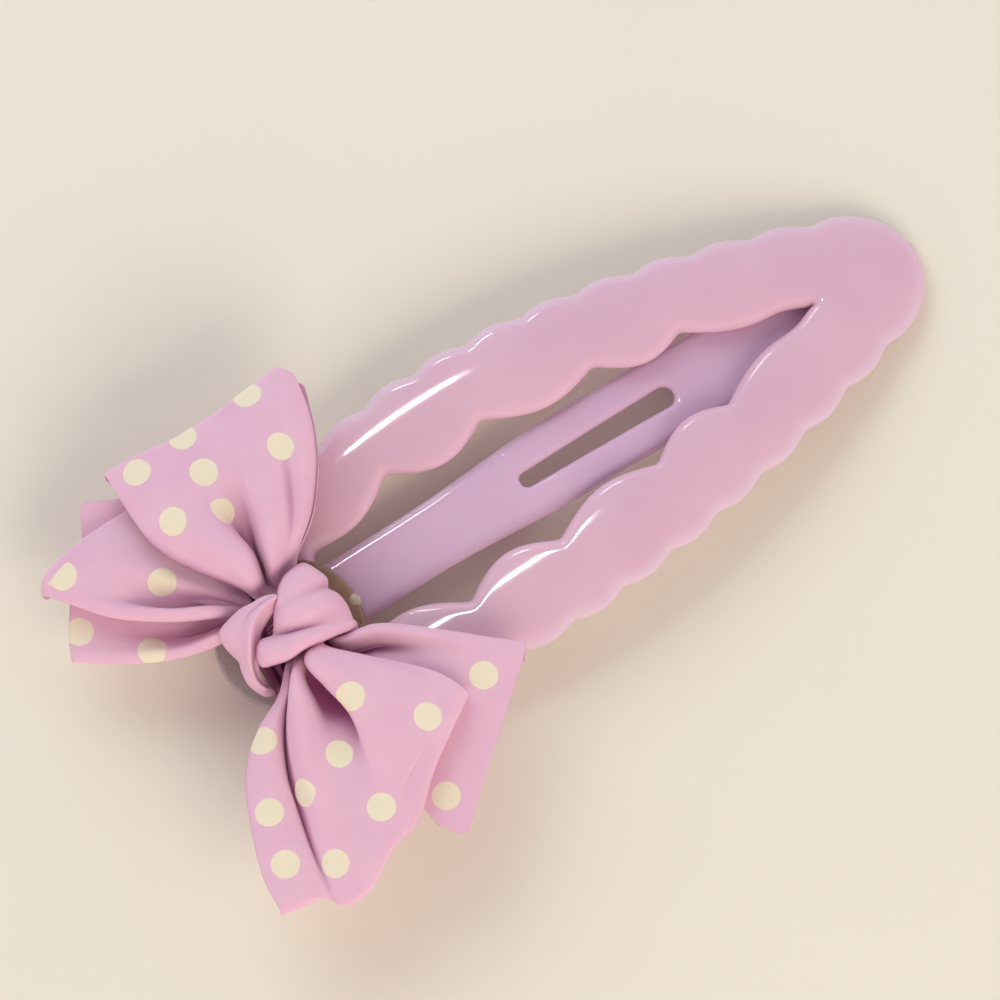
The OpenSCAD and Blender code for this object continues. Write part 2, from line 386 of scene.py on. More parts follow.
# How rounded the dips between scallops and between notches are, and the scallops' mean height.
SCALLOP_ROUND, NOTCH_ROUND, SCALLOP_MEAN = 0.02, 0.0015, 0.6
NOTCHES, NOTCH_H = (12.3, 23.6, 34.2, 46.3, 55.4, 68.0), 1.7
BAYS, START_POWER = (0.8, 0.4, 0.1, 0.0, 0.0), 3
TONGUE_R, TONGUE_T, TONGUE_SLOPE, TONGUE_ROOT = 268.0, 1.2, math.radians(3.97), 12.0
NECK_W, TONGUE_W, WIDENS_FROM, WIDENS_OVER = 6.8, 8.5, 22, 18
TONGUE_END, TONGUE_ROUND = 69.5, 6
TONGUE_X = TONGUE_ROOT + TONGUE_R * math.sin(TONGUE_SLOPE)
TONGUE_Z = ARCH_Z + math.sqrt(ARCH_MID**2 - (ARCH_X - TONGUE_ROOT) ** 2) - TONGUE_R * math.cos(TONGUE_SLOPE)


def clip_plain(t):
    """The clip's half width at distance t from the heel, without its scallops."""
    heel = CLIP_W / 2 * np.sqrt(np.clip(1 - ((WIDE_AT - t) / WIDE_AT) ** 2, 0, None))
    past = np.clip(t - WIDE_AT, 0, None) / (TIP_FROM - WIDE_AT)
    side = CLIP_W / 2 - (CLIP_W / 2 - TIP_HALF) * past**SIDE_POWER
    tip = np.sqrt(np.clip(TIP_R**2 - (t - CLIP_LEN + TIP_R) ** 2, 0, None))
    return np.where(t < WIDE_AT, heel, np.where(t < TIP_FROM, side, tip))


def clip_half(t):
    """The clip's half width with its scallops."""
    fade = smooth((t - SCALLOPS_FROM) / SCALLOP_FADE) * smooth((SCALLOPS_TO - t) / SCALLOP_FADE)
    lobe = np.abs(np.cos(np.pi * (t - SCALLOP_PEAK) / SCALLOP_PITCH))
    lobe = np.sqrt(lobe**2 + SCALLOP_ROUND)
    return clip_plain(t) + fade * SCALLOP_H * (lobe - SCALLOP_MEAN)


def window_plain(t):
    """The window's half width without its notches; 0 where there is no window."""
    from_wide = np.clip((WINDOW_WIDE_AT - t) / (WINDOW_WIDE_AT - WINDOW_START), 0, 1)
    rise = (1 - from_wide**START_POWER) ** (1 / START_POWER)
    past = np.clip(t - WINDOW_WIDE_AT, 0, None) / (WINDOW_END - WINDOW_WIDE_AT)
    fall = 1 - past**SIDE_POWER
    base = WINDOW_W / 2 * np.where(t < WINDOW_WIDE_AT, rise, fall)
    return np.where((t > WINDOW_START) & (t < WINDOW_END), base, 0)


def window_half(t):
    """The window's half width between its notches and bays."""
    bulge, bay = np.zeros_like(t), np.zeros_like(t)
    for a, b, more in zip(NOTCHES[:-1], NOTCHES[1:], BAYS):
        inside = (t >= a) & (t <= b)
        bulge = np.where(inside, np.sin(np.pi * (t - a) / (b - a)), bulge)
        bay = np.where(inside, bulge * more, bay)
    notch = NOTCH_H * (1 - np.sqrt(bulge**2 + NOTCH_ROUND))
    fade = smooth((WINDOW_END - t) / 5), smooth((t - WINDOW_START) / 1.5)
    half = window_plain(t) + notch * fade[0] * fade[1] - bay
    return np.where((t > WINDOW_START) & (t < WINDOW_END), np.clip(half, 0, None), 0)


def tongue_half(t):
    """The tongue's half width, from its neck to its rounded end."""
    width = NECK_W + (TONGUE_W - NECK_W) * smooth((t - WIDENS_FROM) / WIDENS_OVER)
    past = np.clip(t - (TONGUE_END - TONGUE_ROUND), 0, None)
    return width / 2 * np.sqrt(np.clip(1 - (past / TONGUE_ROUND) ** 2, 0, None))


# The power of the curve that rounds a rim; 2 is a circle.
RIM_POWER = 2.2
# The slot, and the radii of its two ends.
SLOT_FROM, SLOT_TO, SLOT_R1, SLOT_R2 = 34.2, 51.8, 0.8, 1.12


def slot_half(t):
    """The slot's half width; 0 where there is no slot."""
    straight = SLOT_R1 + (SLOT_R2 - SLOT_R1) * (t - SLOT_FROM) / (SLOT_TO - SLOT_FROM)
    near = np.sqrt(np.clip(SLOT_R1**2 - (SLOT_R1 - (t - SLOT_FROM)) ** 2, 0, None))
    far = np.sqrt(np.clip(SLOT_R2**2 - (SLOT_R2 - (SLOT_TO - t)) ** 2, 0, None))
    half = np.where(t < SLOT_FROM + SLOT_R1, near, np.where(t > SLOT_TO - SLOT_R2, far, straight))
    return np.where((t > SLOT_FROM) & (t < SLOT_TO), half, 0)


def distance_to(lines, points):
    """How far plan points are from polylines."""
    starts = np.vstack([line[:-1] for line in lines])
    ends = np.vstack([line[1:] for line in lines])
    middle = (starts + ends) / 2
    tree = KDTree(len(middle))
    for i, m in enumerate(middle):
        tree.insert((m[0], m[1], 0), i)
    tree.balance()
    near = np.array([[hit[1] for hit in tree.find_n((p[0], p[1], 0), 3)] for p in points])
    best = np.full(len(points), np.inf)
    for k in range(3):
        a, b = starts[near[:, k]], ends[near[:, k]]
        d = b - a
        f = np.clip(((points - a) * d).sum(1) / np.maximum((d * d).sum(1), 1e-12), 0, 1)
        best = np.minimum(best, np.linalg.norm(points - a - f[:, None] * d, axis=1))
    return best


def both_sides(t, half):
    """The two rim lines of an outline whose half widths are half."""
    upper = np.stack([t, half], 1)
    return [upper, upper * (1, -1)]


def coated_plate(name, stations, outer, inner, plain, ends, arch, thick, rims, dome, split, material,
                 columns=22):
    """A coated sheet with a hole, bent over an arch, with rounded rims.

    stations are along the clip. outer and inner give half widths there, and plain the same two
    without their ripples, for the dome. ends are extra rim lines. arch is the centre and radius
    of the bend. rims are the widths of the rounding at the outer and the inner rim, and dome how
    far the top rises between them. split says where the dome parts into two, one on each side of
    the hole: its first and last station, and how gently it does so at each.
    """
    centre_x, centre_z, radius = arch
    t = np.asarray(stations, float)
    fine = bunched(t[0], t[-1], 3000)
    hole = fine[inner(fine) > 0]
    outer_lines = both_sides(fine, outer(fine)) + ends
    inner_lines = both_sides(hole, inner(hole))
    w = bunched(0, 1, columns)
    points, faces, rim = [], [], []
    for side in (1, -1):
        y = inner(t)[:, None] + (outer(t) - inner(t))[:, None] * w
        plan = np.stack([np.repeat(t[:, None], len(w), 1), y * side], -1).reshape(-1, 2)
        d_out, d_in = distance_to(outer_lines, plan), distance_to(inner_lines, plan)
        on_rim = np.zeros(y.shape, bool)
        on_rim[:, -1] = True
        on_rim[:, 0] = inner(t) > 0
        d_out = np.where(outer(plan[:, 0]) <= 1e-9, 0, d_out)
        lift = np.ones(len(plan))
        for d, r in ((d_out, rims[0]), (d_in, rims[1])):
            q = 1 - np.clip(d / r, 0, 1)
            lift *= np.sqrt(np.clip(1 - q**RIM_POWER, 0, None))
        low, high = plain[1](plan[:, 0]), plain[0](plan[:, 0])
        share = np.clip((np.abs(plan[:, 1]) - low) / np.maximum(high - low, 1e-6), 0, 1)
        parted = smooth((plan[:, 0] - split[0]) / split[2])
        whole = 1 - parted * smooth((split[1] - plan[:, 0]) / split[3])
        crown = 4 * share * (1 - share) * (1 - whole) + (1 - share**2) * whole
        lift[on_rim.ravel()] = 0
        crown[on_rim.ravel()] = 0
        x = plan[:, 0] + HEEL_X
        droop = TILT * np.clip(np.abs(plan[:, 1]) - TILT_FROM, 0, None) ** 2
        z = centre_z + np.sqrt(radius**2 - (x - centre_x) ** 2) - droop
        normal = np.stack([(x - centre_x) / radius, np.zeros_like(x), (z - centre_z) / radius], 1)
        base = np.stack([x, plan[:, 1], z], 1)
        for up, height in ((True, lift * thick / 2 + crown * lift * dome), (False, -lift * thick / 2)):
            start = len(points) * len(plan)
            points.append(base + normal * height[:, None])
            # The rim attribute, the distance from the outer rim, places the enamel's painted reflection.
            rim.append(d_out)
            faces += grid_faces(len(t), len(w), start, flip=(side > 0) == up)
    points = np.vstack(points)
    return mesh_object(name, points, faces, material, {"rim": np.concatenate(rim)}, merge=0.0004)


def make_clip():
    arch = (ARCH_X, ARCH_Z, ARCH_MID)
    stations = np.unique(np.concatenate([
        bunched(0, WINDOW_START, 34),
        bunched(WINDOW_START, WINDOW_END, 190),
        bunched(WINDOW_END, CLIP_LEN, 44),
    ]))
    # The second colour is the painted reflection along the frame's outer rims.
    finish = enamel("enamel_frame", srgb(223, 179, 199), srgb(219, 188, 205), srgb(228, 185, 202))
    coat = coated_plate("clip_coat", stations, clip_half, window_half, (clip_plain, window_plain), [],
                        arch, SHEET_T, (1.6, 1.2), 0.65, (9, 74, 8, 14), finish)
    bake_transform(coat)
    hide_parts("heel_and_tongue_enamel", "side_legs_enamel")

    # The tongue starts 1.5 mm inside the heel's coat.
    root = TONGUE_ROOT - 1.5 - HEEL_X
    stations = np.unique(np.concatenate([
        bunched(root, SLOT_FROM, 50),
        bunched(SLOT_FROM, SLOT_TO, 80),
        bunched(SLOT_TO, TONGUE_END, 60),
    ]))
    side = np.linspace(-1, 1, 41) * tongue_half(np.array([root]))
    root_line = np.stack([np.full(41, root), side], 1)
    # The second colour is the painted reflection along the tongue's outer rims.
    finish = enamel("enamel_tongue", srgb(218, 179, 209), srgb(210, 174, 202), srgb(222, 183, 211))
    tongue = coated_plate("tongue_coat", stations, tongue_half, slot_half, (tongue_half, slot_half),
                          [root_line], (TONGUE_X, TONGUE_Z, TONGUE_R), TONGUE_T, (0.9, 0.6), 0.05,
                          (30, 56, 6, 6), finish, columns=16)
    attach(tongue, "heel")
    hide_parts("heel_and_tongue_enamel")


# ---------------------------------------------------------------- the ribbons

DOT_R, DOT_STEP = 1.42, 10.0
# The distance that stands for no dot, and how near a listed place a surface point counts as on it.
NO_DOT, DOT_REACH = 9.0, 0.35
# Wave texture scale for 6 threads a millimetre.
WEAVE_SCALE = 6.0 / 6.2832 * 2
RIBBON_T, RIBBON_W = 0.3, 24.0
# A loop's fold, from its top ply to its bottom ply: how far out, and how far down.
FOLD_TURN = [(0.7, 0.14), (1.0, 0.5), (0.6, 0.86)]
# The bottom ply's plan follows its own rib by this much and straight lines for the rest. It is
# drawn in, and has the top ply's waves upside down and weaker.
FOLLOWS_RIB, DRAWN_IN, UNDER_WAVE = 0.45, 0.95, 0.15


def spline(points, knots, at):
    """Cubic curves through points (along their first axis) at uneven knots, read at the places in at."""
    p, k = np.asarray(points, float), np.asarray(knots, float)
    shape = (-1,) + (1,) * (p.ndim - 1)
    h = np.diff(k).reshape(shape)
    slope = np.diff(p, axis=0) / h
    inner = (slope[:-1] * h[1:] + slope[1:] * h[:-1]) / (h[1:] + h[:-1])
    tangent = np.concatenate([slope[:1], inner, slope[-1:]])
    i = np.clip(np.searchsorted(k, at, side="right") - 1, 0, len(k) - 2)
    step = h[i]
    f = ((at - k[i]).reshape(shape)) / step
    a = (1 + 2 * f) * (1 - f) ** 2
    b = f * (1 - f) ** 2
    c = f * f * (3 - 2 * f)
    d = f * f * (f - 1)
    return a * p[i] + b * step * tangent[i] + c * p[i + 1] + d * step * tangent[i + 1]


def spaced(net, axis):
    """Knots from 0 to 1 for one axis of a net of points, in proportion to the points' mean spacing."""
    gaps = np.linalg.norm(np.diff(net, axis=axis), axis=2).mean(1 - axis)
    return np.concatenate([[0], np.cumsum(gaps)]) / gaps.sum()


def lattice_distance(a, b):
    """How far ribbon places (millimetres along and across) are from the nearest printed dot."""
    best = np.full(np.shape(a), NO_DOT)
    for shift in (0.0, DOT_STEP / 2):
        da = (a - shift + DOT_STEP / 2) % DOT_STEP - DOT_STEP / 2
        db = (b - shift + DOT_STEP / 2) % DOT_STEP - DOT_STEP / 2
        best = np.minimum(best, np.hypot(da, db))
    return best


def folded_back(ribs, thick, nose, low, shift=(0, 0)):
    """Ribs of a loop's top ply, carried round its outer end and back to the knot underneath.

    thick is the loop's depth at its outer end, nose how far the fold stands out at each rib, and
    low the height of the bottom ply at the knot. shift moves the bottom ply in plan.
    """
    net = np.asarray(ribs, float)
    count, last = len(net), net.shape[1] - 1
    even = np.linspace(0, 1, count)[:, None]
    out = []
    for j, rib in enumerate(net):
        end = rib[-1]
        ahead = end[:2] - rib[-2][:2]
        ahead /= np.linalg.norm(ahead)
        n = nose[j] if hasattr(nose, "__len__") else nose
        deep = thick[j] if hasattr(thick, "__len__") else thick
        points = list(rib)
        points += [np.append(end[:2] + ahead * n * f, end[2] - deep * g) for f, g in FOLD_TURN]
        for k in range(last, -1, -1):
            s = k / last
            straight = net[0, k, :2] * (1 - even[j]) + net[-1, k, :2] * even[j]
            plan = FOLLOWS_RIB * rib[k][:2] + (1 - FOLLOWS_RIB) * straight + np.array(shift) * s
            middle = net[:, k, :2].mean(0)
            plan = middle + (plan - middle) * DRAWN_IN
            height = low + (end[2] - deep - low) * s
            points.append(np.append(plan, height - UNDER_WAVE * (rib[k][2] - net[:, k, 2].mean())))
        out.append(points)
    return np.array(out)


def fold_depth(grid, reach):
    """How far each place lies below the mean height of the places beside it across the ribbon."""
    z = np.pad(grid[..., 2], ((0, 0), (reach + 1, reach)), mode="edge")
    total = np.cumsum(z, axis=1)
    mean = (total[:, 2 * reach + 1:] - total[:, :-2 * reach - 1]) / (2 * reach + 1)
    return mean - grid[..., 2]


def cloth(name, ribs, root, flat, dots, finish, node, slot="dotted_ribbon", top_rows=0.5, rows=120,
          columns=120, thickness=RIBBON_T, phase=(0.0, 0.0), shade=(0.0, 1.0)):
    """A ribbon surface through ribs, which run out from the knot side by side.

    root is the line that the ribs start from at the knot. flat is not used; it gives the cut ribbon's
    width and length for the two big loops, and for the other pieces, whose folded-under width isn't
    modelled, only what the modelled part unrolls to. top_rows is the share of the length that is the top
    ply, where dots lists the printed dots' places; elsewhere they lie on a lattice, moved by phase. finish
    is the front's and the back's material. shade adds painted shade to the folds' colour near the knot: by
    how much, and over what length. node is the CAD node that the piece replaces.
    """
    net = np.asarray(ribs, float)
    if root is not None:
        ends = np.asarray(root, float)
        f = np.linspace(0, 1, len(net))[:, None]
        start = ends[0] * (1 - f) + ends[1] * f
        net = np.concatenate([start[:, None], net], axis=1)
    along, across = spaced(net, 1), spaced(net, 0)
    u, v = np.linspace(0, 1, rows), np.linspace(0, 1, columns)
    grid = spline(spline(net, across, v).transpose(1, 0, 2), along, u)
    points = grid.reshape(-1, 3)
    length = np.concatenate([[0], np.cumsum(np.linalg.norm(np.diff(grid, axis=0), axis=2).mean(1))])
    a = np.repeat(length, columns)
    b = np.tile(v * RIBBON_W, rows)
    dot = lattice_distance(a + phase[0], b + phase[1])
    top = a <= length[-1] * top_rows
    if dots:
        dot[top] = NO_DOT
        for x, y in dots:
            gap = np.where(top, np.hypot(points[:, 0] - x, points[:, 1] - y), np.inf)
            close = np.flatnonzero(gap < DOT_REACH)
            centre = points[close[np.argmax(points[close, 2])] if len(close) else np.argmin(gap)]
            dot = np.where(top, np.minimum(dot, np.linalg.norm(points - centre, axis=1)), dot)
    # Painted shade: the fold attribute is how deep a place lies in a fold, plus the extra painted shade
    # near the knot.
    fold = fold_depth(grid, columns // 10).ravel() + shade[0] * np.clip(1 - a / shade[1], 0, 1)
    values = {"dot": dot, "fold": fold}
    top_grid = grid[: max(2, int(rows * top_rows))]
    across_ribs, along_ribs = top_grid[:-1, 1:] - top_grid[:-1, :-1], top_grid[1:, :-1] - top_grid[:-1, :-1]
    downward = np.cross(across_ribs, along_ribs)[..., 2].sum() < 0
    faces = grid_faces(rows, columns, flip=downward)
    obj = mesh_object(name, points, faces, finish[0], values, uv=np.stack([a, b], 1))
    obj.data.materials.append(finish[1])
    m = obj.modifiers.new("cloth_thickness", "SOLIDIFY")
    m.material_offset = 1
    m.thickness = thickness * MM
    m.offset = 0
    m.use_rim = True
    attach(obj, "heel")
    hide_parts(node)
    return obj


# The ribbons' nets: each rib runs out from the knot, and the ribs lie side by side across the ribbon.

UPPER_LOOP = [
    [(4.9, 3.2, 9.4), (4.6, 3.8, 9.9), (3.8, 5.0, 10.2), (1.5, 8.0, 10.8), (-0.4, 11.5, 11.0),
     (-0.9, 15.5, 11.0), (-0.8, 19.6, 10.6)],
    [(5.2, 2.9, 10.2), (4.8, 3.7, 11.4), (4.1, 5.4, 12.0), (2.3, 9.0, 12.3), (0.9, 13.0, 12.2),
     (0.3, 17.0, 11.7), (0.2, 19.6, 11.0)],
    [(5.6, 2.9, 10.6), (5.3, 3.7, 12.3), (5.0, 5.8, 13.2), (4.0, 9.6, 13.5), (3.2, 14.0, 12.9),
     (2.8, 17.6, 12.1), (2.6, 19.4, 11.4)],
    [(6.1, 3.1, 10.4), (6.1, 3.9, 12.0), (6.4, 6.0, 12.7), (5.8, 9.3, 12.9), (5.1, 13.5, 12.8),
     (5.2, 17.2, 12.1), (5.1, 19.1, 11.4)],
    [(6.4, 3.2, 9.8), (6.6, 4.2, 10.4), (7.0, 6.2, 11.0), (6.5, 9.2, 11.8), (6.0, 12.6, 12.3),
     (6.4, 17.0, 12.1), (6.5, 18.9, 11.4)],
    [(6.6, 3.4, 8.9), (6.8, 4.4, 8.9), (7.1, 6.3, 9.0), (6.9, 9.2, 10.5), (7.0, 12.6, 12.0),
     (7.6, 17.0, 12.0), (7.8, 18.9, 11.4)],
    [(6.8, 3.5, 8.9), (7.0, 4.5, 8.9), (7.4, 6.4, 8.9), (7.7, 9.3, 10.3), (8.2, 12.8, 11.9),
     (9.2, 17.0, 12.0), (9.5, 18.9, 11.4)],
    [(7.0, 3.5, 9.2), (7.3, 4.4, 9.4), (7.7, 6.4, 9.5), (8.5, 9.2, 10.9), (9.4, 13.0, 12.2),
     (10.9, 17.0, 12.2), (11.3, 19.0, 11.4)],
    [(7.3, 3.3, 10.4), (7.6, 4.1, 12.0), (8.2, 6.2, 12.8), (9.2, 9.0, 13.0), (10.5, 13.0, 13.1),
     (12.2, 17.2, 12.5), (12.8, 19.2, 11.5)],
    [(7.9, 3.2, 10.8), (8.2, 4.1, 12.4), (9.4, 6.4, 13.4), (10.9, 9.4, 13.7), (12.4, 13.2, 13.5),
     (14.1, 17.4, 12.6), (14.8, 19.4, 11.5)],
    [(8.7, 3.4, 10.4), (9.4, 4.2, 11.5), (11.3, 6.3, 12.0), (13.1, 9.2, 12.3), (14.8, 13.0, 12.5),
     (16.5, 17.3, 12.2), (17.1, 19.6, 11.3)],
    [(9.8, 3.8, 10.0), (10.6, 4.6, 11.0), (12.8, 6.6, 11.9), (15.0, 9.8, 12.5), (16.8, 13.4, 12.5),
     (18.2, 17.2, 12.0), (18.8, 19.9, 11.2)],
    [(10.6, 4.2, 9.4), (11.5, 5.0, 10.1), (13.6, 6.6, 10.6), (16.5, 10.0, 11.2), (18.3, 13.2, 11.4),
     (19.4, 16.4, 11.2), (19.9, 19.0, 10.9)],
]

LOWER_LOOP = [
    [(2.0, -6.5, 9.2), (-1.6, -8.4, 9.0), (-5.0, -11.4, 8.9), (-7.6, -16.6, 9.0), (-9.2, -21.4, 9.0),
     (-9.5, -24.6, 9.0)],
    [(2.9, -6.5, 9.9), (-0.6, -9.2, 9.8), (-3.6, -12.6, 9.7), (-5.6, -17.2, 9.6), (-6.9, -21.6, 9.4),
     (-7.2, -25.0, 9.2)],
    [(3.0, -6.6, 9.4), (0.3, -9.6, 9.1), (-1.9, -13.4, 9.3), (-3.1, -17.4, 9.2), (-4.2, -21.7, 9.1),
     (-5.0, -25.4, 9.0)],
    [(3.1, -6.8, 9.0), (0.6, -9.6, 8.2), (-1.6, -13.5, 8.5), (-2.8, -17.3, 8.6), (-3.8, -21.7, 8.7),
     (-4.5, -25.9, 8.9)],
    [(3.2, -6.6, 10.8), (0.9, -9.9, 10.5), (-0.9, -13.7, 10.0), (-2.1, -17.9, 9.6), (-3.1, -22.2, 9.5),
     (-4.0, -26.9, 9.2)],
    [(3.9, -6.0, 11.9), (2.2, -9.4, 12.4), (0.7, -12.8, 11.9), (-0.6, -17.0, 11.1), (-1.6, -22.0, 10.3),
     (-2.6, -27.4, 9.5)],
    [(4.5, -6.1, 11.4), (3.6, -9.4, 11.5), (2.5, -12.8, 11.2), (1.1, -17.4, 10.8), (0.2, -22.0, 10.3),
     (-0.8, -27.1, 9.7)],
    [(4.9, -6.4, 9.2), (4.7, -9.4, 9.1), (4.2, -12.8, 10.2), (3.0, -17.2, 10.7), (2.0, -22.0, 10.4),
     (0.9, -26.2, 9.9)],
    [(5.8, -6.3, 9.0), (6.6, -9.2, 8.9), (6.7, -12.6, 10.0), (4.8, -17.2, 10.8), (3.6, -21.8, 10.6),
     (2.6, -25.2, 10.1)],
    [(5.5, -5.7, 11.5), (5.8, -8.7, 11.8), (6.4, -12.2, 11.6), (5.8, -16.8, 11.4), (5.0, -21.2, 10.9),
     (4.2, -24.3, 10.3)],
    [(6.0, -5.5, 12.3), (7.0, -8.5, 12.8), (8.0, -12.0, 12.5), (8.3, -16.3, 12.0), (8.0, -19.9, 11.2),
     (6.9, -22.6, 10.5)],
    [(6.7, -5.3, 12.0), (8.4, -7.9, 12.3), (10.0, -11.1, 12.1), (11.2, -14.9, 11.7), (11.3, -18.0, 11.2),
     (10.4, -20.4, 10.6)],
    [(7.4, -5.2, 11.6), (9.8, -7.8, 11.5), (12.2, -10.6, 11.4), (13.9, -13.6, 11.2), (14.2, -16.3, 10.9),
     (13.8, -18.3, 10.6)],
    [(7.8, -5.2, 11.1), (10.3, -7.9, 10.9), (13.0, -10.8, 10.9), (15.1, -13.4, 10.8), (16.1, -15.3, 10.7),
     (16.3, -16.7, 10.5)],
    [(8.0, -5.2, 10.8), (10.6, -7.9, 10.6), (13.4, -10.6, 10.6), (15.6, -13.0, 10.6), (16.7, -14.9, 10.6),
     (17.1, -16.1, 10.5)],
]

LEFT_LOOP = [
    [(4.5, 4.0, 8.4), (3.2, 8.0, 8.5), (1.5, 12.0, 8.7), (0.1, 16.4, 8.6)],
    [(3.2, 4.8, 8.6), (0.8, 8.6, 9.0), (-1.2, 12.4, 9.3), (-3.2, 16.4, 8.8)],
    [(2.4, 4.9, 8.4), (-0.8, 8.4, 9.2), (-3.6, 12.0, 9.7), (-6.2, 16.2, 8.9)],
    [(2.0, 4.6, 7.5), (-1.6, 7.4, 8.0), (-5.0, 11.0, 9.4), (-8.6, 15.8, 8.9)],
    [(1.7, 4.3, 7.4), (-2.4, 6.6, 7.9), (-6.4, 10.0, 9.2), (-10.2, 15.3, 8.7)],
    [(1.4, 3.9, 9.8), (-2.7, 6.0, 10.2), (-7.0, 9.3, 9.6), (-11.0, 14.7, 8.3)],
    [(1.2, 3.3, 9.5), (-2.9, 5.3, 9.5), (-7.4, 8.7, 8.9), (-11.4, 14.0, 7.9)],
    [(1.3, 3.5, 7.8), (-2.5, 5.6, 7.8), (-7.0, 9.2, 7.9), (-11.0, 14.3, 7.5)],
    [(1.8, 4.2, 7.4), (-1.8, 6.8, 7.4), (-6.2, 10.4, 7.5), (-10.2, 14.8, 7.4)],
]

LEFT_BACK = [
    [(4.4, 5.4, 8.0), (3.8, 9.6, 7.8), (3.2, 13.6, 7.6), (2.6, 17.4, 7.5)],
    [(3.4, 5.4, 8.0), (2.2, 9.6, 7.8), (1.0, 14.0, 7.7), (-0.4, 18.7, 7.6)],
    [(2.6, 5.2, 8.0), (0.6, 9.6, 7.8), (-1.2, 14.4, 7.6), (-2.4, 19.6, 7.6)],
    [(1.8, 5.0, 8.0), (-1.2, 9.2, 7.7), (-3.8, 14.2, 7.5), (-4.0, 20.2, 7.4)],
    [(1.4, 4.6, 7.8), (-2.2, 8.6, 7.5), (-5.2, 13.2, 7.3), (-5.6, 17.6, 7.3)],
]

LEFT_TAIL = [
    [(2.4, 3.6, 6.6), (-1.4, 6.8, 6.4), (-5.4, 10.2, 6.4), (-9.6, 13.4, 6.2)],
    [(1.8, 3.3, 6.2), (-2.0, 5.6, 6.0), (-6.0, 9.0, 6.2), (-10.4, 12.2, 6.1)],
    [(1.4, 3.0, 5.8), (-2.5, 4.3, 5.8), (-6.6, 7.4, 6.2), (-11.4, 10.8, 6.0)],
    [(1.0, 2.4, 7.2), (-2.8, 3.2, 7.0), (-7.2, 6.0, 6.5), (-12.2, 9.4, 5.9)],
    [(0.9, 1.8, 8.3), (-2.9, 2.5, 7.8), (-7.6, 4.9, 6.7), (-12.6, 8.5, 5.9)],
    [(0.9, 1.3, 7.4), (-3.0, 2.0, 7.0), (-7.9, 4.4, 6.2), (-12.8, 7.9, 5.6)],
    [(1.2, 1.6, 6.6), (-2.6, 2.5, 6.3), (-7.4, 5.0, 5.8), (-12.3, 8.2, 5.4)],
    [(1.8, 2.6, 6.5), (-2.0, 3.8, 6.1), (-6.6, 6.4, 5.6), (-11.7, 9.2, 5.2)],
]

RIGHT_TAIL = [
    [(9.6, -6.0, 8.0), (13.2, -7.8, 8.4), (17.2, -11.2, 8.6), (21.2, -14.4, 8.5), (23.8, -16.3, 8.4)],
    [(9.5, -5.3, 8.3), (13.4, -6.5, 8.7), (17.6, -10.0, 8.8), (21.6, -13.4, 8.7), (24.3, -15.6, 8.6)],
    [(9.6, -4.7, 9.0), (13.4, -5.7, 9.4), (17.8, -9.0, 9.4), (21.8, -12.5, 9.2), (24.8, -15.0, 8.9)],
    [(9.4, -5.1, 9.9), (13.1, -6.3, 10.0), (17.4, -9.6, 9.7), (21.4, -13.0, 9.3), (24.4, -15.5, 9.0)],
    [(9.1, -5.9, 7.8), (12.6, -7.4, 8.2), (16.6, -10.3, 9.1), (20.8, -13.6, 9.2), (23.9, -16.0, 9.0)],
    [(8.8, -6.2, 8.5), (11.8, -8.8, 8.9), (15.4, -12.2, 9.1), (19.4, -15.6, 9.1), (22.0, -17.6, 8.9)],
    [(8.6, -6.8, 8.7), (11.0, -10.4, 8.9), (14.2, -14.6, 9.0), (17.2, -18.4, 8.9), (19.2, -20.0, 8.8)],
    [(8.2, -7.4, 8.7), (9.8, -12.0, 8.8), (12.0, -17.4, 8.8), (14.2, -21.4, 8.7), (15.7, -22.9, 8.6)],
    [(7.8, -8.0, 8.6), (8.6, -13.6, 8.7), (9.8, -19.4, 8.6), (11.2, -24.0, 8.5), (12.2, -25.8, 8.4)],
    [(7.5, -8.4, 8.5), (7.8, -14.4, 8.6), (8.4, -20.6, 8.5), (9.0, -25.4, 8.4), (9.7, -27.6, 8.3)],
    [(7.3, -8.5, 8.5), (7.2, -14.4, 8.5), (7.4, -20.0, 8.4), (7.7, -23.6, 8.4), (8.0, -25.6, 8.3)],
]


